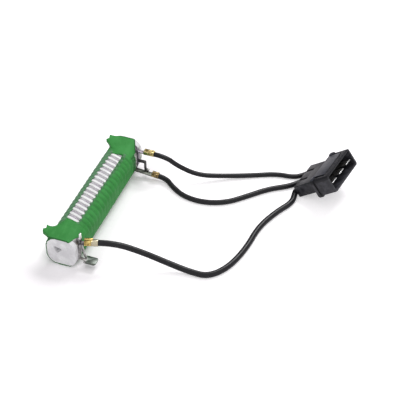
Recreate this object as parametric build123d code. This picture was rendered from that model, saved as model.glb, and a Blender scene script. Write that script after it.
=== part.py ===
"""Blower motor resistor: a coated wirewound core with three leads to a blade connector."""
import os
from math import cos, pi, radians, sin, tan

from build123d import *

# Frame, in millimetres: X across the core towards the leads, Y along the core, Z up.
# The origin is on the surface that the part lies on, under the middle of the core.

# Ceramic core
core_length = 105.0
core_width = 19.0
core_height = 19.8
core_corner = 6.8
bore_side = 6.6
bore_corner = 1.0
bore_x = -2.4
bore_rise = 1.6

# Helical groove
turns = 18
flange_length = 15.9
groove_depth = 1.9
groove_top = 2.4
groove_floor = 1.7
corner_facets = 3
fin_margin = 1.4
overcut = 0.8

# Resistance coil in the groove
coil_height = 1.2
coil_crown = 1.1
tail_width = 1.3

# Cement coat and its window
coat = 0.7
window_x = -0.7
window_width = 9.3
window_inset = 17.8
window_skew = 2.0
window_corner = 1.2
bare_start = 5.4
bare_end = 8.6
bare_near_length = 9.2
bare_far_length = 11.4
bare_far_x = 6.6

# Fish-tail ears, as places out from the core's side and in from its end
ear_thick = 1.5
ear_inner = 6.0
near_ear_far_flank = [(-2.6, 12.7), (0.7, 9.3), (4.1, 10.4)]
near_ear_notch = (2.7, 6.9)
near_ear_near_flank = [(4.4, 6.0), (3.8, 3.8), (-0.2, 1.8), (-1.6, 0.0)]
far_ear_near_flank = [(-2.6, 12.9), (0.3, 9.2), (3.3, 6.6)]
far_ear_notch = (1.9, 4.8)
far_ear_far_flank = [(2.9, 1.4), (-1.4, 1.4), (-4.4, 0.0)]

# Terminal bands
band_thick = 0.5
band_width = 4.0
near_band_inset = 5.5
far_band_inset = 6.3
strap_thick = 0.8
strap_width = 2.2
tail_rise = 3.2
tail_strip_width = 1.7
tail_root = 3.6

# Lugs and crimps: width of each crimp, with its base, lobes and lug in proportion
lug_thick = 0.7
lug_share = 0.64
crimp_base_share = 0.68
crimp_lobe_share = 0.26
strand_height = 0.8
near_lug_rise = 6.4
near_lug_turn = 18.0
near_crimp_start = 3.5
near_crimp_length = 5.2
near_crimp_width = 4.6
grip_length = 3.0
grip_wall = 0.3
upper_lug_rise = 7.4
upper_crimp_start = 5.2
upper_crimp_length = 7.0
upper_crimp_width = 3.9
tap_inset = 10.8
tap_rise = 4.2
tap_slope = 6.0
tap_width = 3.4
tap_root = 4.2
tap_crimp_start = 11.7
tap_crimp_length = 4.8
tap_crimp_width = 3.9

# Blade tab at the foot of the near terminal's two legs
tab_width = 6.3
tab_length = 7.6
tab_start = 2.9
tab_rise = 3.1
tab_nose = 0.9
leg_width = 1.5
leg_thick = 0.8
front_leg_lean = 1.3
front_leg_foot = 5.6
link_width = 1.6

# Thermal fuse leaf
leaf_width = 2.4
leaf_thick = 0.8
leaf_rise = 0.4
leaf_reach = 4.8
leaf_foot = 2.4
leaf_bend = 0.5
strap_below_leaf = 0.9
solder_radius = 1.0
solder_height = 0.6
solder_setback = 0.7

# Leads
near_lead_diameter = 3.8
tap_lead_diameter = 3.5
upper_lead_diameter = 3.2
floor_gap = 0.01
near_run = 10.0
tap_run = 5.4
upper_run = 8.0

# Connector, along its own mating axis M, row axis S and thickness axis T
conn_azimuth = -9.5
conn_rise = 38.3
conn_x = 142.0
conn_y = 66.2
shroud_width = 33.2
shroud_height = 12.4
shroud_depth = 13.6
shroud_wall = 1.4
shroud_corner = 1.6
socket_depth = 11.6
collar_length = 2.2
collar_proud = 0.9
collar_break = 12.6
rear_width = 26.4
rear_length = 31.0
rear_bottom = 4.1
rear_top = 4.1
rear_corner = 0.8
tower_gap = 2.4
tower_depth = 7.0
plate_width = 24.6
plate_proud = 0.4
plate_start = 2.4
plate_ramp = 1.2
reveal_length = 1.3
reveal_depth = 1.6
rail_slot = 1.3
rail_depth = 0.9
rail_start = 4.0
way_pitch = 10.4
way_clearance = 0.25
way_t = 0.5
blade_width = 6.3
blade_thick = 0.8
blade_t = -0.5
blade_recess = 0.8
blade_nose = 1.2
barrel_start = 15.0
barrel_end = 25.0
exit_run = 2.0

# Derived places
core_low = coat
core_mid = core_low + core_height / 2
core_top = core_low + core_height
side_x = core_width / 2
end_y = core_length / 2
flat_x = core_width / 2 - core_corner
flat_z = core_height / 2 - core_corner
pitch = (core_length - 2 * flange_length) / turns
facet_reach = core_corner * sin(radians(90 / corner_facets))
near_band_y = near_band_inset - end_y
far_band_y = end_y - far_band_inset
band_x = side_x + band_thick
near_lug_z = core_mid + near_lug_rise
upper_lug_z = core_mid + upper_lug_rise
leaf_z = core_mid + leaf_rise
strap_y = far_band_y - strap_width / 2
tap_y = end_y - tap_inset
tap_z = core_low + tap_rise
leaf_y = (strap_y - strap_width / 2 + tap_y + tap_width / 2) / 2
tab_z = core_low + tab_rise


def slab(profile, y_low, y_high):
    """A profile drawn in X and Z, swept along Y from y_low to y_high."""
    return extrude(Plane.XZ.offset(-y_high) * profile, y_high - y_low)


def core_profile(grow=0.0):
    """The core's rounded section, grown or shrunk all round."""
    section = RectangleRounded(core_width + 2 * grow, core_height + 2 * grow, core_corner + grow)
    return Pos(0, core_mid) * section


def box(x, y, z):
    """A block between pairs of limits."""
    centre = Pos((x[0] + x[1]) / 2, (y[0] + y[1]) / 2, (z[0] + z[1]) / 2)
    return centre * Box(x[1] - x[0], y[1] - y[0], z[1] - z[0])


def save(name, shape):
    """Write one node, as one solid where it is one."""
    solids = shape.solids()
    export_step(solids[0] if len(solids) == 1 else Compound(solids), f"parts/{name}.step")


# Winding path: a helix on the bevelled section that steps half a pitch over the top and
# half a pitch under the bottom, and stays square to the core on its sides
def corner_places():
    """Centres of the section's corners in winding order, each with its first direction."""
    top = core_mid + flat_z
    bottom = core_mid - flat_z
    return [(flat_x, top, 90), (flat_x, bottom, 0), (-flat_x, bottom, -90), (-flat_x, top, -180)]


def corner_angles(first):
    """Directions that share out a corner between its facets."""
    return [first - step * 90 / corner_facets for step in range(corner_facets + 1)]


def reach_out(corner_x, corner_z, angle, y, r):
    """Point at a distance from a corner's centre, in a direction square to the core."""
    return Vector(corner_x + r * cos(radians(angle)), y, corner_z + r * sin(radians(angle)))


def bevelled_profile(grow=0.0):
    """Section of the finned length, its corners bevelled in even steps."""
    points = []
    for corner_x, corner_z, first in corner_places():
        for angle in corner_angles(first):
            point = reach_out(corner_x, corner_z, angle, 0, core_corner + grow)
            points.append((point.X, point.Z))
    return make_face(Polyline(*points, close=True))


def winding_stations():
    """Corner centre, direction and place along the core at each bend of the path."""
    far_y = turns / 2 * pitch
    lean = pitch * facet_reach / (2 * (flat_x + facet_reach))
    stations = []
    for turn in range(turns):
        y = far_y - turn * pitch
        left = corner_places()[3]
        right = corner_places()[0]
        for corner, steps in ((left, [0, 0, 0, lean]), (right, [pitch - lean, pitch, pitch, pitch])):
            stations += [(corner[0], corner[1], angle, y - step)
                         for angle, step in zip(corner_angles(corner[2]), steps)]
        if turn < turns - 1:
            for corner_x, corner_z, first in corner_places()[1:3]:
                stations += [(corner_x, corner_z, angle, y - pitch) for angle in corner_angles(first)]
    return stations, far_y - turns * pitch, far_y


def flat_faces(corners):
    """One flat face through four corners, or two where they aren't level."""
    first, second, third, fourth = corners
    normal = (second - first).cross(third - first).normalized()
    if abs(normal.dot(fourth - first)) < 1e-6:
        return [polygon(corners)]
    return [polygon([first, second, third]), polygon([first, third, fourth])]


def winding(top_width, floor_width, height):
    """Flat-faced body along the whole path, standing on the groove's floor."""
    low = core_corner - groove_depth
    outline = [(top_width / 2, low + height), (floor_width / 2, low),
               (-floor_width / 2, low), (-top_width / 2, low + height)]
    stations, near_y, far_y = winding_stations()
    rings = [[reach_out(corner_x, corner_z, angle, y + across, r) for across, r in outline]
             for corner_x, corner_z, angle, y in stations]
    faces = [polygon(rings[0]), polygon(rings[-1])]
    for ring, following in zip(rings, rings[1:]):
        for side in range(len(outline)):
            turn = side - 1
            faces += flat_faces([ring[turn], ring[side], following[side], following[turn]])
    return Solid(Shell(faces))


def polygon(points):
    """Flat face through the given corners."""
    return Face(Wire.make_polygon(points, close=True))


def ear_point(place, way):
    """Place out from the core's left side and in from one end, as X and Y."""
    return (-(side_x + place[0]), way * (end_y - place[1]))


def ear_outline(way):
    """Plan of a fish-tail ear: a hollow flank, a notch between two prongs and an end flank."""
    if way < 0:
        hollow, notch, rest = near_ear_far_flank, near_ear_notch, near_ear_near_flank
    else:
        hollow, notch, rest = far_ear_near_flank, far_ear_notch, far_ear_far_flank
    root, low, tip = [ear_point(place, way) for place in hollow]
    corners = [ear_point(place, way) for place in [notch] + rest]
    inner_x = ear_inner - side_x
    corners += [(inner_x, corners[-1][1]), (inner_x, root[1]), root]
    return make_face([ThreePointArc(root, low, tip), Line(tip, corners[0])]
                     + [Line(here, after) for here, after in zip(corners, corners[1:])])


def ears(grow, z_low, z_high):
    """Both ears between two heights, with the plan grown or shrunk."""
    plates = []
    ends = box((-2 * core_width, 0), (-end_y, end_y), (z_low, z_high))
    for way in (-1, 1):
        plan = ear_outline(way)
        if grow:
            plan = offset(plan, grow)
        plates.append(extrude(Plane.XY.offset(z_low) * plan, z_high - z_low) & ends)
    return plates


def band_ring(band_y):
    """A band wrapped round the core."""
    low = band_y - band_width / 2
    high = band_y + band_width / 2
    return slab(core_profile(band_thick), low, high) - slab(core_profile(), low, high)


def tap_strip():
    """The sloping strip that the lower lead is crimped to: broad, then narrow in the crimp."""
    inner = tap_crimp_width * lug_share / 2
    reach = tap_crimp_start + tap_crimp_length
    broad = box((-tap_root, tap_crimp_start), (-tap_width / 2, tap_width / 2), (-lug_thick, 0))
    return tap_axis() * (broad + box((0, reach), (-inner, inner), (-lug_thick, 0)))


def tail_limits(side_way, y_range, thick):
    """Block on one side of the core, level with the top of its upright wall."""
    x_range = (side_x - groove_depth, side_x - groove_depth + thick)
    if side_way < 0:
        x_range = (-x_range[1], -x_range[0])
    top = core_mid + flat_z
    return box(x_range, y_range, (top - tail_width, top))


def tails(thick):
    """Straight ends of the winding: on the right to the near band, on the left to the far one."""
    stations, near_y, far_y = winding_stations()
    near_range = (near_band_y, near_y + groove_floor / 2)
    far_range = (far_y - groove_floor / 2, far_band_y)
    return [tail_limits(1, near_range, thick), tail_limits(-1, far_range, thick)]


def core_blank():
    """The core without its groove: round-cornered ends and a bevelled finned length."""
    stations, near_y, far_y = winding_stations()
    near = near_y - groove_top / 2 - fin_margin
    far = far_y + groove_top / 2 + fin_margin
    return slab(core_profile(), -end_y, near) + slab(bevelled_profile(), near, far) \
        + slab(core_profile(), far, end_y)


def bore_profile():
    """Rounded triangle of the bore."""
    triangle = RegularPolygon(bore_side / 3 ** 0.5, 3, rotation=18)
    return Pos(bore_x, core_mid + bore_rise) * fillet(triangle.vertices(), bore_corner)


def make_core():
    """Moulded ceramic core: grooved, bored, with ears and a slot for the tap strip."""
    flare = (groove_top - groove_floor) * overcut / groove_depth
    core = core_blank() + ears(-coat, core_top - ear_thick, core_top)
    core = core - winding(groove_top + flare, groove_floor, groove_depth + overcut)
    core = core - tails(groove_depth + overcut)
    for band_y in (near_band_y, far_band_y):
        core = core - band_ring(band_y)
    core = core - slab(bore_profile(), -end_y - overcut, end_y + overcut)
    return core - tap_strip()


def make_coil():
    """Envelope of the coiled resistance wire, with its ends under the bands."""
    return winding(coil_crown, groove_floor, coil_height) + tails(groove_depth)


def make_cement(core, lugs):
    """Cement coat over the core and ears, open at the window, the ends and the bare sides."""
    outer = slab(core_profile(coat), -end_y, end_y)
    outer = outer + ears(0, core_top - ear_thick - coat, core_top + coat)
    outer = outer - core_blank() - ears(-coat, core_top - ear_thick, core_top)
    left = window_x - window_width / 2
    right = window_x + window_width / 2
    half_l = end_y - window_inset
    corners = [(left, -half_l + window_skew), (right, -half_l), (right, half_l),
               (left, half_l - window_skew / 2)]
    window = make_face(Polyline(*corners, close=True))
    window = fillet(window.vertices(), window_corner)
    outer = outer - extrude(Plane.XY.offset(core_mid) * window, core_height)
    near_bare = [(bare_start, -end_y - overcut), (bare_end, bare_near_length - end_y),
                 (core_width, bare_near_length - end_y), (core_width, -end_y - overcut)]
    outer = outer - extrude(make_face(Polyline(*near_bare, close=True)), 2 * core_height)
    outer = outer - box((bare_far_x, core_width), (end_y - bare_far_length, end_y + overcut),
                        (-overcut, core_top - bare_far_x / 2))
    return outer - lugs


def near_axis():
    """Plane at the near lug's root: X runs out along the lug."""
    out = (cos(radians(near_lug_turn)), sin(radians(near_lug_turn)), 0)
    return Plane(origin=(side_x, near_band_y, near_lug_z), x_dir=out, z_dir=(0, 0, 1))


def upper_axis():
    """Plane at the far upper lug's root."""
    return Plane(origin=(side_x, strap_y, upper_lug_z), x_dir=(1, 0, 0), z_dir=(0, 0, 1))


def tap_axis():
    """Plane at the far tap strip, level with the core's side and sloping down."""
    down = radians(tap_slope)
    return Plane(origin=(side_x, tap_y, tap_z), x_dir=(cos(down), 0, -sin(down)),
                 z_dir=(sin(down), 0, cos(down)))


def lug(axis, reach, crimp_width):
    """Flat lug below its plane, from the band out into a crimp."""
    half = crimp_width * lug_share / 2
    return axis * box((0.1, reach), (-half, half), (-lug_thick, 0))


def bar(start, finish, width, thick):
    """Flat strip between two places, its width along the core."""
    start, finish = Vector(start), Vector(finish)
    across = Plane(origin=start, x_dir=(0, 1, 0), z_dir=finish - start)
    return extrude(across * Rectangle(width, thick), (finish - start).length)


def blade_tab():
    """Flat blade tab and the two legs and link that carry it below the near lug."""
    half = tab_width / 2
    nose = tab_nose
    root_x = band_x + tab_start
    plan = [(0, -half), (tab_length - nose, -half), (tab_length, -half + nose),
            (tab_length, half - nose), (tab_length - nose, half), (0, half)]
    blade = Pos(root_x, near_band_y, tab_z) * extrude(make_face(Polyline(*plan, close=True)), lug_thick)
    mid_z = tab_z + lug_thick / 2
    leg_x = band_x + leg_thick / 2
    front_y = near_band_y - band_width / 2
    rear_leg = bar((leg_x, near_band_y + leg_width / 2, near_lug_z - lug_thick / 2),
                   (root_x + leg_thick / 2, near_band_y + leg_width / 2, mid_z), leg_width, leg_thick)
    front_leg = bar((leg_x, front_y + leg_width, near_lug_z - lug_thick),
                    (leg_x, front_y + leg_width - front_leg_lean, front_leg_foot), leg_width, leg_thick)
    link = bar((leg_x, front_y + leg_width - front_leg_lean, front_leg_foot + link_width / 2),
               (root_x + leg_thick, near_band_y - leg_width / 2, mid_z), link_width, leg_thick)
    return blade + rear_leg + front_leg + link


def make_near_terminal():
    """Near band with its upright tail, lug, two legs and blade tab."""
    tail = box((band_x, band_x + strap_thick),
               (near_band_y + tail_root - tail_strip_width - band_width / 2 + 0.2,
                near_band_y + tail_root - band_width / 2 + 0.2),
               (near_lug_z - lug_thick, core_top + tail_rise))
    reach = near_crimp_start + near_crimp_length + grip_length
    body = band_ring(near_band_y) + tail + lug(near_axis(), reach, near_crimp_width) + blade_tab()
    return body - slab(core_profile(), near_band_y - 2 * band_width, near_band_y + 2 * band_width)


def make_upper_terminal():
    """Far band with the strap down its side and the upper lug."""
    strap = box((band_x, band_x + strap_thick), (strap_y - strap_width / 2, strap_y + strap_width / 2),
                (leaf_z - leaf_thick / 2 - strap_below_leaf, upper_lug_z + lug_thick))
    reach = upper_crimp_start + upper_crimp_length
    body = band_ring(far_band_y) + strap + lug(upper_axis(), reach, upper_crimp_width)
    return body - slab(core_profile(), far_band_y - 2 * band_width, far_band_y + 2 * band_width)


def crimp_outline(width):
    """Outer section of a rolled crimp: a round-cornered base with two rolled lobes on top."""
    base_height = width * crimp_base_share
    lobe = width * crimp_lobe_share
    base = RectangleRounded(width, base_height, base_height / 2 - 0.05)
    lobes = [Pos(way * (width / 2 - lobe), base_height / 2 - lobe / 4) * Circle(lobe) for way in (-1, 1)]
    return base + lobes


def crimp_hollow(width):
    """Section of the lug and the strands inside a crimp."""
    return Rectangle(width * lug_share, lug_thick + strand_height)


def section_at(axis, reach):
    """Section plane of a crimp at a reach along its lug, facing out."""
    middle = (strand_height - lug_thick) / 2
    return Plane(origin=axis.from_local_coords(Vector(reach, 0, middle)),
                 x_dir=axis.y_dir, z_dir=axis.x_dir)


def crimp(axis, start, length, width, grip, lead_diameter):
    """Brass sleeve rolled over the lug and the strands, with a round grip behind it if any."""
    sleeve = extrude(section_at(axis, start) * (crimp_outline(width) - crimp_hollow(width)), length)
    if not grip:
        return sleeve
    ring = Circle(lead_diameter / 2 + grip_wall) - crimp_hollow(width)
    return sleeve + extrude(section_at(axis, start + length) * ring, grip)


def strands(axis, start, length, width):
    """Copper strands pressed flat on the lug inside their crimp."""
    half = width * lug_share / 2
    return axis * box((start, start + length), (-half, half), (0, strand_height))


def make_leaf():
    """Spring leaf from the far strap out and down to the tap strip, with a soldered foot."""
    start = band_x + strap_thick
    bend = start + leaf_reach
    slope = tan(radians(tap_slope))
    lift = leaf_thick / 2 / cos(radians(tap_slope))
    foot_z = [tap_z - (x - side_x) * slope + lift for x in (bend, bend + leaf_foot)]
    path = FilletPolyline((start, leaf_z), (bend, leaf_z), (bend, foot_z[0]),
                          (bend + leaf_foot, foot_z[1]), radius=leaf_bend)
    return slab(trace(path, leaf_thick), leaf_y - leaf_width / 2, leaf_y + leaf_width / 2)


def make_solder():
    """Low bead of solder that holds the leaf's foot on the tap strip."""
    reach = (band_x + strap_thick + leaf_reach + leaf_foot - solder_setback - side_x) / cos(radians(tap_slope))
    across = leaf_y - tap_y
    bead = Cone(solder_radius, solder_radius * 0.6, solder_height,
                align=(Align.CENTER, Align.CENTER, Align.MIN))
    return tap_axis() * Pos(reach, across, leaf_thick) * bead


# Connector frame: the origin is the middle of the socket's mouth
conn_m = Vector(cos(radians(conn_rise)) * cos(radians(conn_azimuth)),
                cos(radians(conn_rise)) * sin(radians(conn_azimuth)), sin(radians(conn_rise)))
conn_s = Vector(-sin(radians(conn_azimuth)), cos(radians(conn_azimuth)), 0)
conn_t = conn_m.cross(conn_s)
conn_z = rear_length * conn_m.Z + rear_bottom * conn_t.Z
conn = Plane(origin=(conn_x, conn_y, conn_z), x_dir=conn_m, z_dir=conn_t)
mouth = Plane(origin=conn.origin, x_dir=conn_s, z_dir=conn_m)


def behind(distance):
    """Section plane of the connector at a distance behind the mouth, facing the mouth."""
    return mouth.offset(-distance)


def ways():
    """The three ways across the connector from its near side, each with its lead's diameter."""
    return [(-way_pitch, near_lead_diameter), (0.0, tap_lead_diameter), (way_pitch, upper_lead_diameter)]


def way_exit(s):
    """Middle of a way at the rear face."""
    return conn.from_local_coords(Vector(-rear_length, s, way_t))


def across_conn(width, height, corner, lift=0.0):
    """Round-cornered section square to the mating axis."""
    return Pos(0, lift) * RectangleRounded(width, height, corner)


def make_shroud():
    """Shroud with its collar, whose top is broken by the smooth plate, and two rail slots."""
    top = shroud_height / 2
    shroud = extrude(behind(shroud_depth) * across_conn(shroud_width, shroud_height, shroud_corner), shroud_depth)
    collar = extrude(behind(shroud_depth) * across_conn(
        shroud_width + 2 * collar_proud, shroud_height + 2 * collar_proud, shroud_corner + collar_proud),
        collar_length)
    shroud = shroud + (collar - conn * box((-shroud_depth - overcut, 0), (-collar_break, collar_break),
                                           (top, shroud_height)))
    plate_half = plate_width / 2
    side = Plane(origin=conn.from_local_coords(Vector(0, -plate_half, 0)), x_dir=conn_m, z_dir=-conn_s)
    ramp = [(-plate_start, top - plate_proud), (-plate_start - plate_ramp, top + plate_proud),
            (-shroud_depth, top + plate_proud), (-shroud_depth, top - plate_proud)]
    shroud = shroud + extrude(side * make_face(Polyline(*ramp, close=True)), -plate_width)
    for way in (-1, 1):
        s_range = sorted((way * plate_half, way * (plate_half + rail_slot)))
        shroud = shroud - conn * box((-shroud_depth + collar_length, -rail_start), s_range,
                                     (top - rail_depth, top + overcut))
    return shroud


def make_housing():
    """Moulded connector body: shroud and rear block, with the socket, the ways and the tower gaps."""
    rear_mid = (rear_top - rear_bottom) / 2
    rear = extrude(behind(rear_length) * across_conn(rear_width, rear_top + rear_bottom, rear_corner, rear_mid),
                   rear_length - shroud_depth + collar_length)
    rear = rear - conn * box((-shroud_depth - reveal_length, -shroud_depth), (-rear_width, rear_width),
                             (rear_top - reveal_depth, shroud_height))
    body = make_shroud() + rear
    body = body - extrude(behind(socket_depth) * across_conn(
        shroud_width - 2 * shroud_wall, shroud_height - 2 * shroud_wall, shroud_corner / 2), socket_depth + overcut)
    for s, lead_diameter in ways():
        bore = extrude(behind(rear_length + overcut) * Pos(s, way_t) * Circle(lead_diameter / 2 + way_clearance),
                       rear_length + overcut - barrel_start)
        slit = extrude(behind(barrel_start + 0.2) * Pos(s, blade_t) * Rectangle(blade_width, blade_thick),
                       barrel_start + 0.2)
        body = body - [bore, slit]
    for way in (-1, 1):
        gap_s = way * way_pitch / 2
        body = body - conn * box((-rear_length - overcut, -rear_length + tower_depth),
                                 (gap_s - tower_gap / 2, gap_s + tower_gap / 2),
                                 (-shroud_height, shroud_height))
    return body


def contact(s, lead_diameter):
    """Blade contact: flat blade in the socket and a crimped barrel in its way."""
    tip = blade_recess + blade_nose
    blade = extrude(behind(barrel_start) * Pos(s, blade_t) * Rectangle(blade_width, blade_thick),
                    barrel_start - tip)
    nose = extrude(behind(tip) * Pos(s, blade_t) * Rectangle(blade_width, blade_thick), blade_nose, taper=12)
    barrel = extrude(behind(barrel_end) * Pos(s, way_t) * Circle(lead_diameter / 2),
                     barrel_end - barrel_start)
    return blade + nose + barrel


def lead_end(s):
    """End of a lead in its way, and the point where it has just left the rear face."""
    inside = conn.from_local_coords(Vector(-barrel_end, s, way_t))
    outside = way_exit(s) - conn_m * exit_run
    return [outside, inside]


def lead_start(axis, start, length, run):
    """Start of a lead at its crimp's collar, and the end of its first straight run."""
    middle = (strand_height - lug_thick) / 2
    return [axis.from_local_coords(Vector(start + length, 0, middle)),
            axis.from_local_coords(Vector(start + length + run, 0, middle))]


def lead(name, points, diameter):
    """Round lead along straight runs joined by tangent arcs."""
    points = [Vector(point) for point in points]
    radii = []
    for before, here, after in zip(points, points[1:], points[2:]):
        entry = here - before
        leave = after - here
        half_turn = radians(entry.get_angle(leave)) / 2
        radii.append(0.45 * min(entry.length, leave.length) / tan(half_turn))
    path = FilletPolyline(*points, radius=radii)
    start = Plane(origin=path @ 0, z_dir=path % 0)
    tube = sweep(start * Circle(diameter / 2), path)
    expected = path.length * pi * diameter ** 2 / 4
    print(name, "length", round(path.length, 1), "volume ratio", round(tube.volume / expected, 4),
          "radii", [round(radius, 1) for radius in radii])
    return tube


near_floor = near_lead_diameter / 2 + floor_gap
tap_floor = tap_lead_diameter / 2 + floor_gap
upper_floor = upper_lead_diameter / 2 + floor_gap
near_route = [
    (46, -36.0, 12.2), (62, -33.7, 5.8), (75, -34.1, 2.4), (86.3, -32.6, near_floor),
    (95.3, -20.5, near_floor), (100.6, -1.0, near_floor), (102.8, 18, near_floor),
    (108.8, 36.5, near_floor), (111.3, 49.5, near_floor), (111.0, 57.3, near_floor + 0.04),
]
upper_route = [
    (38.0, 47.2, 12.2), (51, 50.6, 6.2), (66, 57.3, 2.9), (83, 65.0, upper_floor),
    (97.5, 71.0, upper_floor), (109.4, 73.2, upper_floor), (115.2, 78.9, upper_floor),
]
tap_route = [
    (37.2, 35.2, 2.2), (47.5, 29.0, tap_floor), (61, 27.6, tap_floor),
    (75.5, 33.3, tap_floor), (87, 45.1, tap_floor), (97, 55.6, tap_floor), (108, 62.5, tap_floor),
    (113.3, 67.9, tap_floor),
]

near_spec = (near_axis(), near_crimp_start, near_crimp_length, near_crimp_width, grip_length, near_lead_diameter)
upper_spec = (upper_axis(), upper_crimp_start, upper_crimp_length, upper_crimp_width, 0, upper_lead_diameter)
tap_spec = (tap_axis(), tap_crimp_start, tap_crimp_length, tap_crimp_width, 0, tap_lead_diameter)

os.makedirs("parts", exist_ok=True)
core = make_core()
near_terminal = make_near_terminal()
upper_terminal = make_upper_terminal()
tap_terminal = tap_strip()

save("ceramic_core", core)
save("resistance_coil", make_coil())
save("cement_coat", make_cement(core, [near_terminal, upper_terminal, tap_terminal]))
save("near_terminal", near_terminal)
save("upper_terminal", upper_terminal)
save("tap_terminal", tap_terminal)
save("fuse_leaf", make_leaf())
save("fuse_solder", make_solder())
save("connector_housing", make_housing())
leads = [("near", near_route, near_spec, near_run), ("tap", tap_route, tap_spec, tap_run),
         ("upper", upper_route, upper_spec, upper_run)]
for (name, route, spec, run), (s, diameter) in zip(leads, ways()):
    axis, start, length, width, grip, lead_diameter = spec
    save(f"{name}_crimp", crimp(*spec))
    save(f"{name}_strands", strands(axis, start, length + grip, width))
    save(f"{name}_contact", contact(s, diameter))
    points = lead_start(axis, start, length + grip, run) + route + lead_end(s)
    save(f"{name}_lead", lead(name, points, diameter))
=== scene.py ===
import math

import bmesh
import bpy
from mathutils import Matrix, Vector, noise


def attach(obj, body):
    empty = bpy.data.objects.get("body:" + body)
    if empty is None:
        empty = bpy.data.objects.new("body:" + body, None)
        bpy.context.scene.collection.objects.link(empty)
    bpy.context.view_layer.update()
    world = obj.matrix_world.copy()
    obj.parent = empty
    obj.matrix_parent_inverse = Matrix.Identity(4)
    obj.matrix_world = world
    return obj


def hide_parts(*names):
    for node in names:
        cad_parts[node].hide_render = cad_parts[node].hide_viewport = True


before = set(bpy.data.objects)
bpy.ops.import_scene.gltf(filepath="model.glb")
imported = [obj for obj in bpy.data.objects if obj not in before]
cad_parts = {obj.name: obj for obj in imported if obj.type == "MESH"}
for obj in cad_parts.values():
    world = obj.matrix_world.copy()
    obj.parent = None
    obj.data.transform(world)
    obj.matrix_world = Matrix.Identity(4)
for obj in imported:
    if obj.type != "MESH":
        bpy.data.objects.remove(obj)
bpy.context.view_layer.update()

MM = 0.001

# Camera, as read from the photograph; its focal length is in pixels of a picture this wide
CAMERA_TILT = math.radians(41.4)
CAMERA_TURN = math.radians(19.95)
CAMERA_DISTANCE = 730 * MM
CAMERA_OFFSET = (65.6 * MM, 6.9 * MM)
FOCAL_PIXELS = 1140
PICTURE_PIXELS = 400
SENSOR = 36.0

# Core, winding and window, in millimetres, as the part has them
CORE_LENGTH = 105.0
CORE_WIDTH = 19.0
CORE_HEIGHT = 19.8
CORE_CORNER = 6.8
CORNER_FACETS = 3
FLANGE_LENGTH = 15.9
TURNS = 18
GROOVE_DEPTH = 1.9
COAT = 0.7
WINDOW_X = -0.7
WINDOW_WIDTH = 9.3
WINDOW_INSET = 17.8

# What follows from them
SIDE_X = CORE_WIDTH / 2
CORE_END = CORE_LENGTH / 2
CORE_MID = COAT + CORE_HEIGHT / 2
CORE_TOP = COAT + CORE_HEIGHT
FLAT_X = CORE_WIDTH / 2 - CORE_CORNER
FLAT_Z = CORE_HEIGHT / 2 - CORE_CORNER
WINDING_END = CORE_END - FLANGE_LENGTH
PITCH = 2 * WINDING_END / TURNS
STEP_REACH = FLAT_X + CORE_CORNER * math.sin(math.radians(90 / CORNER_FACETS))
WINDOW_LEFT = WINDOW_X - WINDOW_WIDTH / 2
WINDOW_RIGHT = WINDOW_X + WINDOW_WIDTH / 2
WINDOW_END = CORE_END - WINDOW_INSET

# Coiled wire in the groove, in millimetres
WIRE_RADIUS = 0.21
COIL_RADIUS = 0.64
COIL_PITCH = 0.78
COIL_LIFT = 0.05
POINTS_A_COIL = 8.0
POINTS_A_CORNER = 6

# How a plain solid is dressed
MERGE_DISTANCE = 0.001 * MM
FLAT_ANGLE = math.radians(0.5)
EDGE_ANGLE = math.radians(32)
SMOOTH_ANGLE = math.radians(35)

# Brushed coat, in millimetres: what fills it out behind, and how its surface moves
COAT_VOXEL = 0.42
COAT_BACKING = 0.6
WINDING_SWELL = 0.2
BARE_SINK = 1.1
BARE_START_X = 5.3
BARE_SLANT = 0.45
WINDOW_LEAN = 1.2

# Connector, in millimetres: the middle of its socket, its turn and rise, and its shroud
SOCKET_MIDDLE = (142.0, 66.2, 22.43)
SOCKET_TURN = math.radians(-9.5)
SOCKET_RISE = math.radians(38.3)
SOCKET_WAYS = Matrix.Rotation(SOCKET_TURN, 3, "Z") @ Matrix.Rotation(-SOCKET_RISE, 3, "Y")
SOCKET_OUT, SOCKET_OVER = SOCKET_WAYS.col[0], SOCKET_WAYS.col[2]
SHROUD_HALF = 6.2
SHROUD_DEPTH = 13.6
COLLAR_LENGTH = 2.2

# Leads: their diameters as the part has them, and the points they follow
LEAD_DIAMETERS = {"near": 3.8, "tap": 3.5, "upper": 3.2}
LEAD_ROUTES = {
    "near": [(20.63, -43.38, 17.05), (30.14, -40.29, 17.05), (46.0, -36.3, 11.3), (62.0, -34.0, 5.2),
             (75.0, -33.6, 2.3), (87.2, -33.4, 1.91), (96.3, -21.3, 1.91), (101.0, -1.6, 1.91),
             (102.0, 18.0, 1.91), (108.4, 35.8, 1.91), (115.4, 48.0, 1.91), (114.5, 56.8, 1.95),
             (114.44, 60.27, 2.37), (120.63, 59.23, 7.33)],
    "tap": [(25.91, 41.7, 3.23), (31.29, 41.7, 2.66), (37.4, 36.0, 2.2), (47.5, 30.1, 1.76),
            (61.0, 28.6, 1.76), (75.5, 33.6, 1.76), (87.0, 45.1, 1.76), (97.0, 55.6, 1.76),
            (108.0, 62.5, 1.76), (113.3, 67.9, 1.76), (116.15, 70.53, 2.37), (122.34, 69.49, 7.33)],
    "upper": [(21.7, 45.1, 18.05), (29.7, 45.1, 18.05), (38.0, 46.6, 11.2), (51.0, 49.4, 5.2),
              (66.0, 57.0, 2.9), (83.0, 65.4, 1.61), (97.3, 72.2, 1.61), (109.4, 73.0, 1.61),
              (115.2, 78.0, 1.61), (117.87, 80.78, 2.37), (124.06, 79.75, 7.33)],
}
NEAR_LUG_Z = LEAD_ROUTES["near"][0][2]
NEAR_GRIP_X = 17.6

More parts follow.
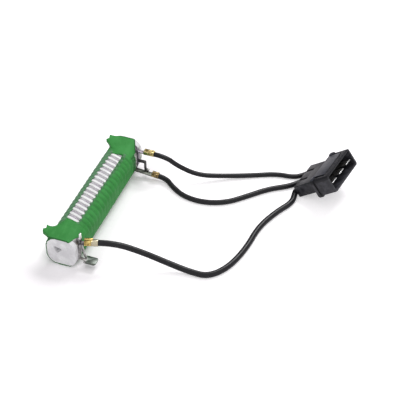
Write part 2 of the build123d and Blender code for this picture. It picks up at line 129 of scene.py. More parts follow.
# Floor, room and lamp, in metres and watts; the room is brightest on the side named
FLOOR_REACH = 3.0
ROOM_BRIGHT_SIDE = Vector((0.4, -0.5, 0.77)).normalized()
ROOM_DIM, ROOM_BRIGHT = 0.13, 1.02
LAMP_PLACE = Vector((0.14, 0.75, 0.95))
LAMP_AIM = Vector((0.06, 0.02, 0.0))
LAMP_SIZE = (0.6, 0.4)
LAMP_WATTS = 8.0


def linked(name, data):
    """A mesh, curve, camera or lamp as an object in the scene."""
    piece = bpy.data.objects.new(name, data)
    bpy.context.collection.objects.link(piece)
    return piece


def make_camera():
    """Camera at the photograph's place, with its long lens."""
    tilt, turn = CAMERA_TILT, CAMERA_TURN
    right = Vector((math.cos(turn), math.sin(turn), 0))
    up = Vector((-math.sin(tilt) * math.sin(turn), math.sin(tilt) * math.cos(turn), math.cos(tilt)))
    back = right.cross(up)
    place = back * CAMERA_DISTANCE + right * CAMERA_OFFSET[0] + up * CAMERA_OFFSET[1]
    lens = bpy.data.cameras.new("camera")
    lens.sensor_width = SENSOR
    lens.lens = SENSOR * FOCAL_PIXELS / PICTURE_PIXELS
    lens.clip_start = 0.01
    camera = linked("camera", lens)
    turned = Matrix((right, up, back)).transposed().to_4x4()
    camera.matrix_world = Matrix.Translation(place) @ turned
    bpy.context.scene.camera = camera


def make_lead(name):
    """One lead as a smooth cord from its crimp into its way in the connector."""
    points = LEAD_ROUTES[name]
    curve = bpy.data.curves.new(f"{name}_wire", "CURVE")
    curve.dimensions = "3D"
    curve.bevel_depth = LEAD_DIAMETERS[name] / 2 * MM
    curve.bevel_resolution = 8
    curve.resolution_u = 14
    curve.use_fill_caps = True
    spline = curve.splines.new("NURBS")
    spline.points.add(len(points) - 1)
    for point, place in zip(spline.points, points):
        point.co = (*[value * MM for value in place], 1)
    spline.order_u = 3
    spline.use_endpoint_u = True
    return linked(f"{name}_wire", curve)


class Value:
    """A number in a shader tree that takes part in ordinary arithmetic."""

    def __init__(self, shades, socket):
        self.shades = shades
        self.socket = socket

    def maths(self, operation, first, second):
        return self.shades.add("ShaderNodeMath", {"operation": operation}, first, second)

    def __add__(self, other):
        return self.maths("ADD", self, other)

    def __sub__(self, other):
        return self.maths("SUBTRACT", self, other)

    def __rsub__(self, other):
        return self.maths("SUBTRACT", other, self)

    def __mul__(self, other):
        return self.maths("MULTIPLY", self, other)

    __radd__ = __add__
    __rmul__ = __mul__

    def step(self, low, high):
        """Smooth rise from 0 at low to 1 at high."""
        return self.shades.add("ShaderNodeMapRange", {"interpolation_type": "SMOOTHSTEP"},
                               self, low, high, 0, 1)

    def within(self, low, high, edge):
        """1 between low and high, and down to 0 over an edge on either side."""
        return self.step(low - edge, low) * self.step(high + edge, high)


class Shades:
    """The nodes of one shader tree."""

    def __init__(self, tree):
        self.tree = tree

    def add(self, kind, settings, *values, out=0, **named):
        """Adds a node, sets it up, and returns one of its outputs as a value."""
        node = self.tree.nodes.new(kind)
        for setting, value in settings.items():
            setattr(node, setting, value)
        for key, value in [*enumerate(values), *named.items()]:
            self.join(node.inputs[key], value)
        return Value(self, node.outputs[out])

    def join(self, socket, value):
        """Sets a socket to a number, or links a value to it."""
        if isinstance(value, Value):
            self.tree.links.new(value.socket, socket)
        elif isinstance(value, tuple) and len(value) == 3 and socket.type == "RGBA":
            socket.default_value = (*value, 1)
        else:
            socket.default_value = value

    def blend(self, amount, low, high):
        """Colour between low and high."""
        # A Mix node's colour sockets come after those for numbers and vectors
        node = self.tree.nodes.new("ShaderNodeMix")
        node.data_type = "RGBA"
        self.join(node.inputs[0], amount)
        self.join(node.inputs[6], low)
        self.join(node.inputs[7], high)
        return Value(self, node.outputs[2])

    def camera_ray(self):
        """1 for what the camera sees directly, and 0 for light that falls on the part."""
        return self.add("ShaderNodeLightPath", {}, out="Is Camera Ray")


class Finish(Shades):
    """A procedural finish round one principled shader."""

    def __init__(self, name, colour, roughness, **fixed):
        self.material = bpy.data.materials.new(name)
        self.material.use_nodes = True
        super().__init__(self.material.node_tree)
        self.shader = self.tree.nodes["Principled BSDF"]
        self.shader.inputs["Base Color"].default_value = (*colour, 1)
        self.shader.inputs["Roughness"].default_value = roughness
        for socket, value in fixed.items():
            self.shader.inputs[socket.replace("_", " ")].default_value = value
        self.place = self.add("ShaderNodeTexCoord", {}, out="Object")

    def axes(self):
        """The place on the piece, in millimetres, along X, Y and Z."""
        scaled = self.add("ShaderNodeVectorMath", {"operation": "SCALE"}, self.place, Scale=1 / MM)
        node = self.tree.nodes.new("ShaderNodeSeparateXYZ")
        self.join(node.inputs[0], scaled)
        return [Value(self, output) for output in node.outputs]

    def from_socket(self, way):
        """How far a place lies along a way from the middle of the connector's socket."""
        offset = [value - middle for value, middle in zip(self.axes(), SOCKET_MIDDLE)]
        return sum(value * share for value, share in zip(offset, way))

    def grain(self, size, detail=2.0, roughness=0.5, stretch=(1, 1, 1)):
        """Soft noise whose features are size millimetres across."""
        scaled = self.add("ShaderNodeMapping", {}, self.place, Scale=stretch)
        return self.add("ShaderNodeTexNoise", {}, Vector=scaled, Scale=1 / (size * MM), Detail=detail,
                        Roughness=roughness)

    def cells(self, size):
        """Distance to the nearest of scattered points, size millimetres apart."""
        return self.add("ShaderNodeTexVoronoi", {}, Vector=self.place, Scale=1 / (size * MM))

    def painted(self, name):
        """A value that the piece carries on its own points."""
        return self.add("ShaderNodeAttribute", {"attribute_name": name}, out="Fac")

    def colour(self, value):
        self.join(self.shader.inputs["Base Color"], value)

    def roughness(self, value):
        self.join(self.shader.inputs["Roughness"], value)

    def relief(self, height, depth):
        """Bump of the given depth in millimetres."""
        bump = self.add("ShaderNodeBump", {}, Strength=1.0, Distance=depth * MM, Height=height,
                        out="Normal")
        self.join(self.shader.inputs["Normal"], bump)


def green_cement():
    """Brushed-on cement coat: dull green, mottled, and dusty and dark with painted shade where its points
    say so.
    """
    finish = Finish("green_cement", (0.036, 0.22, 0.048), 0.62, Specular_IOR_Level=0.16)
    broad = finish.grain(9, 3)
    streaks = finish.grain(2.2, 3, 0.6, (1, 0.3, 1))
    fine = finish.grain(0.6, 4, 0.65)
    mottled = finish.blend(broad.step(0.3, 0.72), (0.034, 0.215, 0.044), (0.047, 0.26, 0.06))
    brushed = finish.blend(streaks.step(0.5, 0.78) * 0.6, mottled, (0.06, 0.29, 0.07))
    rubbed = finish.blend(fine.step(0.62, 0.82) * 0.35, brushed, (0.09, 0.33, 0.11))
    dusty = finish.blend(finish.painted("dust"), rubbed, (0.115, 0.235, 0.135))
    # Painted shade: the coat goes dark green where its points carry shade
    finish.colour(finish.blend(finish.painted("shade"), dusty, (0.014, 0.07, 0.02)))
    finish.roughness(broad * 0.15 + fine * 0.15 + 0.45)
    finish.relief(fine * 0.5 + streaks * 0.9 + broad * 0.6, 0.16)
    return finish.material


def white_ceramic():
    """Unglazed moulded ceramic: fine pores, mould drag, a painted highlight on the fin tops and a stained
    shoulder.
    """
    finish = Finish("white_ceramic", (0.8, 0.8, 0.82), 0.75, Specular_IOR_Level=0.2)
    pores = finish.cells(0.5).step(0.02, 0.26)
    cloud = finish.grain(5, 4)
    drag = finish.grain(1.6, 3, 0.6, (1, 1, 0.35))
    clean = finish.blend(cloud.step(0.3, 0.75), (0.65, 0.645, 0.665), (0.83, 0.83, 0.84))
    dragged = finish.blend(drag.step(0.55, 0.8) * 0.4, clean, (0.44, 0.435, 0.45))
    porous = finish.blend(pores, (0.42, 0.41, 0.42), dragged)
    x, y, z = finish.axes()
    fins_end = WINDING_END - 1.6
    # Painted highlight: the fin tops are made paler, as if lit from above
    fin_top_highlight = z.step(CORE_TOP - 1.3, CORE_TOP - 0.4) * y.within(-fins_end, fins_end, 1.0)
    with_fin_highlight = finish.blend(fin_top_highlight * 0.4, porous, (0.85, 0.85, 0.85))
    side = x.step(SIDE_X - 1.1, SIDE_X - 0.6) * z.step(CORE_TOP - 1.5, CORE_TOP - 3.0)
    stain = side * y.step(fins_end, fins_end + 1.0) * cloud.step(0.62, 0.4)
    finish.colour(finish.blend(stain, with_fin_highlight, (0.3, 0.34, 0.27)))
    finish.roughness(cloud * 0.2 + 0.6)
    finish.relief(pores * 0.4 + drag * 0.5 + finish.grain(0.4, 3) * 0.5, 0.1)
    return finish.material


def resistance_wire():
    """Dull drawn wire, faintly heat-tinted."""
    finish = Finish("resistance_wire", (0.7, 0.68, 0.72), 0.45, Metallic=0.35)
    tint = finish.grain(3, 2)
    finish.colour(finish.blend(tint.step(0.35, 0.7), (0.7, 0.64, 0.72), (0.78, 0.78, 0.79)))
    finish.roughness(tint * 0.2 + 0.38)
    return finish.material


def rolled_lines(finish):
    """Fine rolling lines and dull patches, as on pressed strip."""
    return finish.grain(0.5, 3, 0.6, (0.2, 1, 1)), finish.grain(2.6, 3)


def pressed_strip(name, dark, bright, low_roughness):
    """Pressed metal strip with fine rolling lines, dull patches and small scratches."""
    finish = Finish(name, bright, 0.35, Metallic=1.0)
    lines, cloud = rolled_lines(finish)
    scratches = finish.grain(0.25, 2, 0.5, (1, 0.08, 1))
    clouded = finish.blend(cloud.step(0.35, 0.72), dark, bright)
    finish.colour(finish.blend(scratches.step(0.62, 0.75) * 0.35, clouded, dark))
    finish.roughness(cloud * 0.25 + lines * 0.1 + low_roughness)
    finish.relief(lines * 0.5 + cloud * 0.5, 0.04)
    return finish.material


def tinned_steel():
    """Tinned steel of the near terminal, with a painted reflection of the green coat on the tab, painted
    shade round the lug and a painted highlight at the riser's end.
    """
    finish = Finish("tinned_steel", (0.55, 0.54, 0.53), 0.35, Metallic=0.9)
    lines, cloud = rolled_lines(finish)
    clouded = finish.blend(cloud.step(0.35, 0.72), (0.27, 0.26, 0.26), (0.58, 0.57, 0.56))
    x, _, z = finish.axes()
    tab_top = 6.0
    # Painted reflection: the tab's flat is coloured dark grey-green, as if it mirrored the green coat
    on_tab = x.step(SIDE_X + 3.9, SIDE_X + 5.1) * z.step(tab_top + 1.5, tab_top)
    tab_reflected = finish.blend(on_tab * 0.9, clouded, (0.1, 0.12, 0.105))
    # Painted shade round the lug, between the riser and the crimp
    along_lug = x.step(SIDE_X + 0.4, SIDE_X + 0.7) * x.step(SIDE_X + 5.9, SIDE_X + 5.3)
    up_lug = z.step(NEAR_LUG_Z - 1.15, NEAR_LUG_Z - 0.65) * z.step(NEAR_LUG_Z + 2.45, NEAR_LUG_Z + 2.05)
    lug_shaded = finish.blend(along_lug * up_lug * 0.85, tab_reflected, (0.05, 0.04, 0.05))
    # Painted highlight along the riser's top end
    riser_highlight = z.step(NEAR_LUG_Z + 2.45, NEAR_LUG_Z + 3.05)
    finish.colour(finish.blend(riser_highlight, lug_shaded, (0.85, 0.85, 0.86)))
    finish.roughness(cloud * 0.25 + lines * 0.1 + 0.18)
    finish.relief(lines * 0.5 + cloud * 0.5, 0.04)
    return finish.material


def heated_steel():
    """Steel of the far terminal, tinted purple-grey by heat."""
    return pressed_strip("heated_steel", (0.13, 0.11, 0.14), (0.36, 0.33, 0.37), 0.2)


def tarnished_strip():
    """Grey-green tarnished strip under the lower lead."""
    return pressed_strip("tarnished_strip", (0.04, 0.045, 0.038), (0.2, 0.21, 0.185), 0.35)


def pressed_brass(name, shade_tone, highlight_tone, grip=None):
    """Pressed brass, mottled by noise between a dark tone that is painted shade and a bright tone that is
    painted highlight, with a grip of its own colour.
    """
    finish = Finish(name, highlight_tone, 0.28, Metallic=1.0)
    cloud = finish.grain(1.3, 4)
    press = finish.grain(0.5, 3, 0.6, (0.4, 1, 1))
    # Painted shade and painted highlight, spread in patches by noise
    metal = finish.blend(cloud.step(0.32, 0.68), shade_tone, highlight_tone)
    if grip:
        along = finish.axes()[0]
        metal = finish.blend(along.step(NEAR_GRIP_X - 0.3, NEAR_GRIP_X + 0.3), metal, grip)
    finish.colour(metal)
    finish.roughness(cloud * 0.25 + 0.16)
    finish.relief(press * 0.6 + cloud * 0.4, 0.06)
    return finish.material


def lead_copper():
    """Bare copper strands."""
    finish = Finish("lead_copper", (0.6, 0.28, 0.14), 0.35, Metallic=1.0)
    strand = finish.grain(0.4, 2, 0.5, (0.15, 1, 1))
    finish.colour(finish.blend(strand.step(0.35, 0.65), (0.35, 0.14, 0.06), (0.75, 0.4, 0.22)))
    finish.relief(strand, 0.1)
    return finish.material


def solder_bead():
    """Dull clouded solder."""
    finish = Finish("solder", (0.4, 0.4, 0.38), 0.4, Metallic=1.0)
    cloud = finish.grain(0.8, 3)
    finish.colour(finish.blend(cloud.step(0.35, 0.7), (0.22, 0.225, 0.21), (0.48, 0.48, 0.46)))
    finish.roughness(cloud * 0.3 + 0.25)
    return finish.material


def spring_leaf():
    """Blackened spring strip."""
    finish = Finish("spring_leaf", (0.02, 0.019, 0.019), 0.5, Specular_IOR_Level=0.35)
    scale = finish.grain(1.1, 4, 0.6)
    finish.colour(finish.blend(scale.step(0.4, 0.75), (0.011, 0.011, 0.012), (0.04, 0.036, 0.034)))
    finish.roughness(scale * 0.3 + 0.35)
    finish.relief(scale, 0.05)
    return finish.material


def lead_insulation():
    """Black flexible insulation with a clear sheen and faint handling marks."""
    finish = Finish("lead_insulation", (0.008, 0.008, 0.01), 0.32, Specular_IOR_Level=0.28)
    dust = finish.grain(6, 4, 0.6)
    fine = finish.grain(0.5, 3)
    finish.colour(finish.blend(dust.step(0.45, 0.8), (0.007, 0.007, 0.009), (0.014, 0.014, 0.017)))
    finish.roughness(dust * 0.16 + fine * 0.08 + 0.2)
    finish.relief(fine, 0.02)
    return finish.material


def connector_plastic():
    """Blue-black moulded plastic with a spark grain and rubbed sides, painted shade in the collar's seam
    and over the top, and a painted highlight on the plate.
    """
    finish = Finish("connector_plastic", (0.016, 0.016, 0.021), 0.45, Specular_IOR_Level=0.36)
    spark = finish.grain(0.35, 4, 0.7)
    rubbed = finish.grain(4, 4, 0.65)
    worn = finish.blend(rubbed.step(0.38, 0.7), (0.016, 0.016, 0.02), (0.048, 0.048, 0.057))
    out, over = finish.from_socket(SOCKET_OUT), finish.from_socket(SOCKET_OVER)
    # The collar's front edge, with painted shade in the seam before it
    collar = COLLAR_LENGTH - SHROUD_DEPTH
    seam = out.step(collar + 1.1, collar + 0.5) * out.step(collar - 0.5, collar - 0.1)
    seamed = finish.blend(seam * 0.85, worn, (0.003, 0.003, 0.004))
    # Painted shade over the top, so it is darker than the sides
    top = over.step(3.4, 4.4) * 0.92
    shaded = finish.blend(top, seamed, (0.004, 0.004, 0.007))
    # Painted highlight on the plate on top
    plate_back, plate_front = 0.4 - SHROUD_DEPTH, -3.8
    plate = over.step(SHROUD_HALF, SHROUD_HALF + 0.2) * out.within(plate_back, plate_front, 0.4)
    finish.colour(finish.blend(plate, shaded, (0.03, 0.032, 0.043)))
    finish.roughness(rubbed * 0.22 + spark * 0.1 + 0.26)
    finish.relief(spark * 0.7 + rubbed * 0.3, 0.05)
    return finish.material


def contact_tin():
    """Tinned blades, with a painted highlight at their noses and painted shade behind them."""
    finish = Finish("contact_tin", (0.8, 0.8, 0.78), 0.3, Metallic=0.8)
    cloud = finish.grain(2, 3)
    # Painted shade: behind the noses the tin is coloured dark
    dull = finish.blend(cloud.step(0.35, 0.7), (0.12, 0.115, 0.11), (0.3, 0.29, 0.28))
    # Painted highlight at the noses
    nose = finish.from_socket(SOCKET_OUT).step(-1.5, -1.0)
    finish.colour(finish.blend(nose, dull, (0.95, 0.95, 0.95)))
    finish.roughness(cloud * 0.2 + 0.22)
    return finish.material


def settled(piece, name):
    """The piece with its modifiers applied, as a plain mesh object."""
    shape = piece.evaluated_get(bpy.context.evaluated_depsgraph_get())
    mesh = bpy.data.meshes.new_from_object(shape)
    bpy.data.objects.remove(piece)
    return linked(name, mesh)


def merged_copy(node, name):
    """A copy of a part's solid with its loose triangles joined and its flats made whole."""
    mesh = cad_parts[node].data.copy()
    shape = bmesh.new()
    shape.from_mesh(mesh)
    bmesh.ops.remove_doubles(shape, verts=shape.verts, dist=MERGE_DISTANCE)
    bmesh.ops.dissolve_limit(shape, angle_limit=FLAT_ANGLE, verts=shape.verts, edges=shape.edges)
    shape.to_mesh(mesh)
    shape.free()
    return linked(name, mesh)


def coloured(piece, material):
    """One finish all over a piece."""
    piece.data.materials.clear()
    piece.data.materials.append(material)


def shown_for(piece, node):
    """Puts a piece in the place of the part's plain solid."""
    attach(piece, "root")
    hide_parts(node)


def dressed(node, material, edge, segments=2):
    """A solid with its finish and its edges softened by a bevel of edge millimetres."""
    piece = merged_copy(node, f"{node}_draft")
    bevel = piece.modifiers.new("edges", "BEVEL")
    bevel.width = edge * MM
    bevel.segments = segments
    bevel.limit_method = "ANGLE"
    bevel.angle_limit = EDGE_ANGLE
    bevel.use_clamp_overlap = True
    piece = settled(piece, f"{node}_shown")
    piece.data.shade_smooth()
    piece.data.set_sharp_from_angle(angle=SMOOTH_ANGLE)
    coloured(piece, material)
    shown_for(piece, node)
    return piece


def stepped_share(x, z):
    """Share of a pitch that the winding has moved on: it steps over the top, from left to right."""
    if z < CORE_MID:
        return 0.0
    return (max(-STEP_REACH, min(STEP_REACH, x)) + STEP_REACH) / (2 * STEP_REACH)


def groove_wave(x, y, z):
    """1 over the middle of a groove and -1 over the middle of a fin."""
    return math.cos(math.tau * ((y - WINDING_END) / PITCH + stepped_share(x, z)))


def winding_path(height):
    """Places along the winding at a height over the groove's floor."""
    radius = CORE_CORNER - GROOVE_DEPTH + height
    top, bottom = CORE_MID + FLAT_Z, CORE_MID - FLAT_Z
    over = [(-FLAT_X, top, 180), (FLAT_X, top, 90)]
    under = [(FLAT_X, bottom, 0), (-FLAT_X, bottom, -90)]
    places = []
    for turn in range(TURNS):
        corners = over if turn == TURNS - 1 else over + under
        for x, z, first in corners:
            for step in range(POINTS_A_CORNER + 1):
                angle = math.radians(first - step * 90 / POINTS_A_CORNER)
                out = Vector((math.cos(angle), 0, math.sin(angle)))
                place = Vector((x, 0, z)) + out * radius
                below = z < CORE_MID or (x > 0 and angle <= 0)
                share = 1.0 if below else stepped_share(place.x, CORE_TOP)
                place.y = WINDING_END - (turn + share) * PITCH
                places.append(place)
    return places


class Recipe:
    """A Geometry Nodes tree under construction."""

    def __init__(self, name, sizes):
        self.tree = bpy.data.node_groups.new(name, "GeometryNodeTree")
        face = self.tree.interface
        face.new_socket("Geometry", in_out="INPUT", socket_type="NodeSocketGeometry")
        face.new_socket("Geometry", in_out="OUTPUT", socket_type="NodeSocketGeometry")
        self.sockets = {size: face.new_socket(size, in_out="INPUT", socket_type="NodeSocketFloat")
                        for size in sizes}
        self.source = self.tree.nodes.new("NodeGroupInput")
        self.result = self.tree.nodes.new("NodeGroupOutput")

    def size(self, name):
        return self.source.outputs[name]

    def add(self, kind, settings, *values, out=0, **named):
        """Adds a node, sets it up, and returns one of its outputs."""
        node = self.tree.nodes.new(kind)
        for setting, value in settings.items():
            setattr(node, setting, value)
        for key, value in [*enumerate(values), *named.items()]:
            socket = node.inputs[key if isinstance(key, int) else key.replace("_", " ")]
            if isinstance(value, bpy.types.NodeSocket):
                self.tree.links.new(value, socket)
            else:
                socket.default_value = value
        return node.outputs[out]

    def maths(self, operation, *values):
        return self.add("ShaderNodeMath", {"operation": operation}, *values)

    def vector(self, operation, *values, **named):
        return self.add("ShaderNodeVectorMath", {"operation": operation}, *values, **named)

    def finish(self, geometry, material):
        """Realizes what was made, gives it its material, and closes the tree."""
        whole = self.add("GeometryNodeRealizeInstances", {}, geometry)
        clad = self.add("GeometryNodeSetMaterial", {}, whole, Material=material)
        self.tree.links.new(clad, self.result.inputs[0])

    def apply(self, piece, name, **sizes):
        """Runs the tree on a piece and returns the result as a plain mesh object."""
        modifier = piece.modifiers.new(self.tree.name, "NODES")
        modifier.node_group = self.tree
        for size, value in sizes.items():
            modifier[self.sockets[size].identifier] = value
        return settled(piece, name)


def coil_recipe(material):
    """Winds a wire into a fine coil along a path."""
    recipe = Recipe("coil_along_path", ["coil_radius", "coil_pitch", "wire_radius", "points_a_coil"])
    gap = recipe.maths("DIVIDE", recipe.size("coil_pitch"), recipe.size("points_a_coil"))
    path = recipe.add("GeometryNodeResampleCurve", {"mode": "LENGTH"}, recipe.source.outputs[0],
                      Length=gap)
    gone = recipe.add("GeometryNodeSplineParameter", {}, out="Length")
    turned = recipe.maths("MULTIPLY", recipe.maths("DIVIDE", gone, recipe.size("coil_pitch")), math.tau)
    normal = recipe.add("GeometryNodeInputNormal", {})
    tangent = recipe.add("GeometryNodeInputTangent", {})
    side = recipe.vector("CROSS_PRODUCT", tangent, normal)
    up = recipe.vector("SCALE", normal, Scale=recipe.maths("COSINE", turned))
    across = recipe.vector("SCALE", side, Scale=recipe.maths("SINE", turned))
    offset = recipe.vector("SCALE", recipe.vector("ADD", up, across), Scale=recipe.size("coil_radius"))
    moved = recipe.add("GeometryNodeSetPosition", {}, path, Offset=offset)
    ring = recipe.add("GeometryNodeCurvePrimitiveCircle", {"mode": "RADIUS"}, Resolution=5,
                      Radius=recipe.size("wire_radius"))
    wire = recipe.add("GeometryNodeCurveToMesh", {}, moved, Profile_Curve=ring, Fill_Caps=True)
    recipe.finish(recipe.add("GeometryNodeSetShadeSmooth", {}, wire), material)
    return recipe


def coiled_wire(material):
    """The resistance wire, coiled all along the groove."""
    curve = bpy.data.curves.new("winding_line", "CURVE")
    curve.dimensions = "3D"
    places = winding_path(COIL_RADIUS + WIRE_RADIUS + COIL_LIFT)
    spline = curve.splines.new("POLY")
    spline.points.add(len(places) - 1)
    for point, place in zip(spline.points, places):
        point.co = (*(place * MM), 1)
    recipe = coil_recipe(material)
    piece = recipe.apply(linked("winding_line", curve), "coiled_wire", coil_radius=COIL_RADIUS * MM,
                         coil_pitch=COIL_PITCH * MM, wire_radius=WIRE_RADIUS * MM,
                         points_a_coil=POINTS_A_COIL)
    shown_for(piece, "resistance_coil")


def eased(value, low, high):
    """Smooth rise from 0 at low to 1 at high."""
    share = max(0.0, min(1.0, (value - low) / (high - low)))
    return share * share * (3 - 2 * share)


def lump(x, y, z, rate):
    """Soft noise between -1 and 1, with rate features a millimetre."""
    return noise.noise(Vector((x, y, z)) * rate)


def section_centre(x, y, z):
    """The nearest point to a place on the square that the core's rounded section runs round."""
    return Vector((max(-FLAT_X, min(FLAT_X, x)), y, max(CORE_MID - FLAT_Z, min(CORE_MID + FLAT_Z, z))))


def window_shift(y):
    """How far the window leans to the right towards its far end."""
    return WINDOW_LEAN * eased(y, -8.0, WINDOW_END - 0.7)


def window_pull(x, y, z):
    """How far the coat's window edge moves across: back from the fins, over the grooves."""
    if z < CORE_TOP - 1.6 or abs(y) > WINDOW_END:
        return 0.0
    left, right = [1 - eased(abs(x - edge), 0.2, 1.8) for edge in (WINDOW_LEFT, WINDOW_RIGHT)]
    ragged = 0.35 * lump(x * 0.1, y * 0.9, 3.0, 1.0)
    wave = groove_wave(x, y, z)
    return right * (ragged - 0.95 * wave) - left * (ragged - 0.55 * wave) + window_shift(y) * (left + right)


def bare_shoulder(x, y, z):
    """1 where the far end's right shoulder is bare, past a slanting line, and 0 under the coat."""
    if y < CORE_END - 11.0 or z < CORE_MID - 0.6:
        return 0.0
    return eased(x - BARE_START_X - BARE_SLANT * (CORE_END - y), -0.2, 0.5)


def coat_shade(x, y, z):
    """How much painted shade the coat gets: at its end rims, in its hollows, by the far terminal and
    shoulder.
    """
    ragged = 0.5 * lump(x, y, z, 0.9) + 0.5
    near_rim = (0.4 + 0.5 * ragged) * eased(-y, CORE_END - 0.7, CORE_END - 0.2)
    far_rim = 0.5 * eased(y, CORE_END - 1.7, CORE_END - 0.7)
    shoulder_rim = 0.8 * eased(bare_shoulder(x + 1.1, y, z), 0.1, 0.9)
    shades = [near_rim, far_rim, shoulder_rim]
    if abs(y) < WINDING_END - 0.6 and x > 0:
        hollow = eased(groove_wave(x, y, z), -0.2, 0.9)
        near_window = eased(z, CORE_TOP - 7.5, CORE_TOP) * eased(x, WINDOW_RIGHT, WINDOW_RIGHT + 1.05)
        shades.append(hollow * (0.03 + (0.05 + 0.5 * ragged) * near_window))
    if y > WINDING_END - 0.6 and x > SIDE_X - 3.5:
        shades.append(0.75 * eased(x, SIDE_X - 1.3, SIDE_X - 0.1) * eased(ragged, 0.35, 0.6))
    return max(shades)


def coat_dust(x, y, z):
    """How dusty the coat is, round its window and on its left shoulder."""
    ragged = 2.5 * lump(x, y, z, 0.35)
    past_window = eased(abs(y) + ragged, WINDOW_END, WINDOW_END + 4)
    fade = eased(z + ragged, CORE_TOP - 8.0, CORE_TOP - 2.5) * (1 - past_window)
    if fade == 0:
        return 0.0
    left, right = WINDOW_LEFT + window_shift(y), WINDOW_RIGHT + window_shift(y)
    shoulder = eased(-x, -left - 0.5, -left + 0.5) * fade
    if z < CORE_TOP - 2.5 or abs(y) > WINDOW_END + 0.8:
        return 0.85 * shoulder
    rim = max(1 - eased(abs(x - edge), 0.3, 1.3) for edge in (left, right))
    return 0.85 * max(rim, shoulder)


def coat_move(x, y, z):
    """How far the coat's surface moves outwards: over the winding, in lumps, and at the shoulder."""
    past_winding = eased(abs(y), WINDING_END - 2.1, WINDING_END + 0.9)
    lower_down = eased(CORE_TOP - z, 3.0, 10.0)
    swell = -WINDING_SWELL * groove_wave(x, y, z) * (1 - past_winding) * (1 - 0.75 * lower_down)
    lumps = 0.12 * lump(x, y, z, 0.25) + 0.05 * lump(x, y * 0.6, z, 0.8)
    thinned = 0.05 * (1 - eased(abs(y), 40.0, 42.0))
    return swell + lumps - thinned - BARE_SINK * bare_shoulder(x, y, z)


def even_coat():
    """The plain coat as an even mesh, thick enough behind to keep its skin whole."""
    piece = merged_copy("cement_coat", "coat_draft")
    for vertex in piece.data.vertices:
        place = vertex.co / MM
        out = place - section_centre(*place)
        if out.length < CORE_CORNER + COAT - 0.05:
            vertex.co = (place - out.normalized() * COAT_BACKING) * MM
    remesh = piece.modifiers.new("even", "REMESH")
    remesh.mode = "VOXEL"
    remesh.voxel_size = COAT_VOXEL * MM
    soften = piece.modifiers.new("soften", "SMOOTH")
    soften.factor = 0.5
    soften.iterations = 1
    return settled(piece, "brushed_coat")


def brushed_coat(material):
    """The cement coat with soft edges, the winding's swell under it and a ragged window edge."""
    piece = even_coat()
    # Each point of the coat carries its painted shade and its dust
    painted = {"shade": [], "dust": []}
    for vertex in piece.data.vertices:
        x, y, z = [value / MM for value in vertex.co]
        painted["shade"].append(coat_shade(x, y, z))
        out = Vector((x, y, z)) - section_centre(x, y, z)
        if out.length > CORE_CORNER + 0.2 and z > 0.3:
            out.normalize()
            move, pull = coat_move(x, y, z), window_pull(x, y, z)
            x += out.x * move + pull
            z += out.z * move
        painted["dust"].append(coat_dust(x, y, z))
        vertex.co = Vector((x, y, z)) * MM
    for name, values in painted.items():
        piece.data.attributes.new(name, "FLOAT", "POINT").data.foreach_set("value", values)
    piece.data.shade_smooth()
    coloured(piece, material)
    shown_for(piece, "cement_coat")


def make_floor():
    """Plain white floor; the part's shadow shows most in front of and beside the core, as a painted glow
    lifts it elsewhere.
    """
    mesh = bpy.data.meshes.new("floor")
    corners = [(-1, -1), (1, -1), (1, 1), (-1, 1)]
    mesh.from_pydata([(x * FLOOR_REACH, y * FLOOR_REACH, 0) for x, y in corners], [], [(0, 1, 2, 3)])
    floor = linked("floor", mesh)
    finish = Finish("floor_white", (0.9, 0.872, 0.9), 0.9, Specular_IOR_Level=0.0, Emission_Strength=0.4)
    # Away from the shadow the floor also glows, to the camera alone, a painted light that makes it come out
    # plain white and lifts the part's shadow there
    x, y, _ = finish.axes()
    right, left, front = x.step(14, 45), x.step(-14, -24) * y.step(-62, -42), y.step(-72, -95)
    glow = finish.camera_ray() * (right + left + front + 0.22)
    finish.join(finish.shader.inputs["Emission Color"], finish.blend(glow, (0, 0, 0), (1, 1, 1)))
    coloured(floor, finish.material)


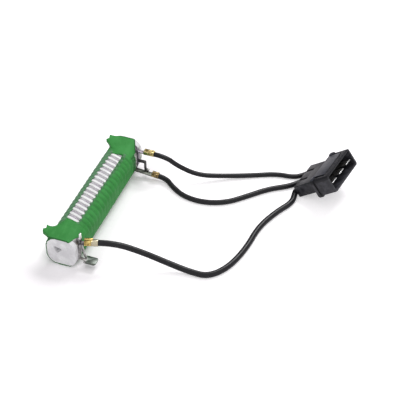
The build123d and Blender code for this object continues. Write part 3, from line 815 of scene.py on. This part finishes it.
def make_room():
    """Surroundings that are bright in front and above and dim behind, and plain white to see."""
    world = bpy.data.worlds.new("studio")
    world.use_nodes = True
    shades = Shades(world.node_tree)
    sky = world.node_tree.nodes["Background"]
    sky.inputs["Strength"].default_value = 1.0
    way = shades.add("ShaderNodeTexCoord", {}, out="Generated")
    facing = shades.add("ShaderNodeVectorMath", {"operation": "DOT_PRODUCT"}, way, ROOM_BRIGHT_SIDE,
                        out="Value")
    light = facing.step(-0.3, 0.9) * (ROOM_BRIGHT - ROOM_DIM) + ROOM_DIM
    shades.join(sky.inputs["Color"], shades.add("ShaderNodeMix", {}, shades.camera_ray(), A=light, B=1.0))
    bpy.context.scene.world = world


def make_lamp():
    """One soft lamp overhead, behind the part."""
    lamp = bpy.data.lights.new("softbox", "AREA")
    lamp.shape = "RECTANGLE"
    lamp.size, lamp.size_y = LAMP_SIZE
    lamp.energy = LAMP_WATTS
    turned = (LAMP_AIM - LAMP_PLACE).to_track_quat("-Z", "Y").to_matrix().to_4x4()
    linked("softbox", lamp).matrix_world = Matrix.Translation(LAMP_PLACE) @ turned


make_camera()

insulation = lead_insulation()
wires = {name: make_lead(name) for name in LEAD_ROUTES}
for wire in wires.values():
    wire.data.materials.append(insulation)

dressed("ceramic_core", white_ceramic(), edge=0.22)
brushed_coat(green_cement())
coiled_wire(resistance_wire())

dressed("near_terminal", tinned_steel(), edge=0.12)
dressed("upper_terminal", heated_steel(), edge=0.12)
dressed("tap_terminal", tarnished_strip(), edge=0.12)

# Each crimp's brass: a dark tone of painted shade, a bright tone of painted highlight, and the near one's
# grip
crimp_metals = {
    "near": pressed_brass("near_brass", (0.28, 0.19, 0.05), (0.84, 0.65, 0.24), grip=(0.52, 0.47, 0.34)),
    "upper": pressed_brass("upper_brass", (0.22, 0.16, 0.05), (0.8, 0.66, 0.32)),
    "tap": pressed_brass("tap_brass", (0.04, 0.022, 0.008), (0.46, 0.34, 0.16)),
}
copper = lead_copper()
for name, metal in crimp_metals.items():
    dressed(f"{name}_crimp", metal, edge=0.16)
    dressed(f"{name}_strands", copper, edge=0.1)
dressed("fuse_leaf", spring_leaf(), edge=0.1)
dressed("fuse_solder", solder_bead(), edge=0.3, segments=3)

housing = dressed("connector_housing", connector_plastic(), edge=0.3)
blade_metal = contact_tin()
contacts = {name: dressed(f"{name}_contact", blade_metal, edge=0.12) for name in LEAD_ROUTES}

for name, wire in wires.items():
    shown_for(wire, f"{name}_lead")

make_floor()
make_room()
make_lamp()
bpy.context.scene.view_settings.view_transform = "Standard"
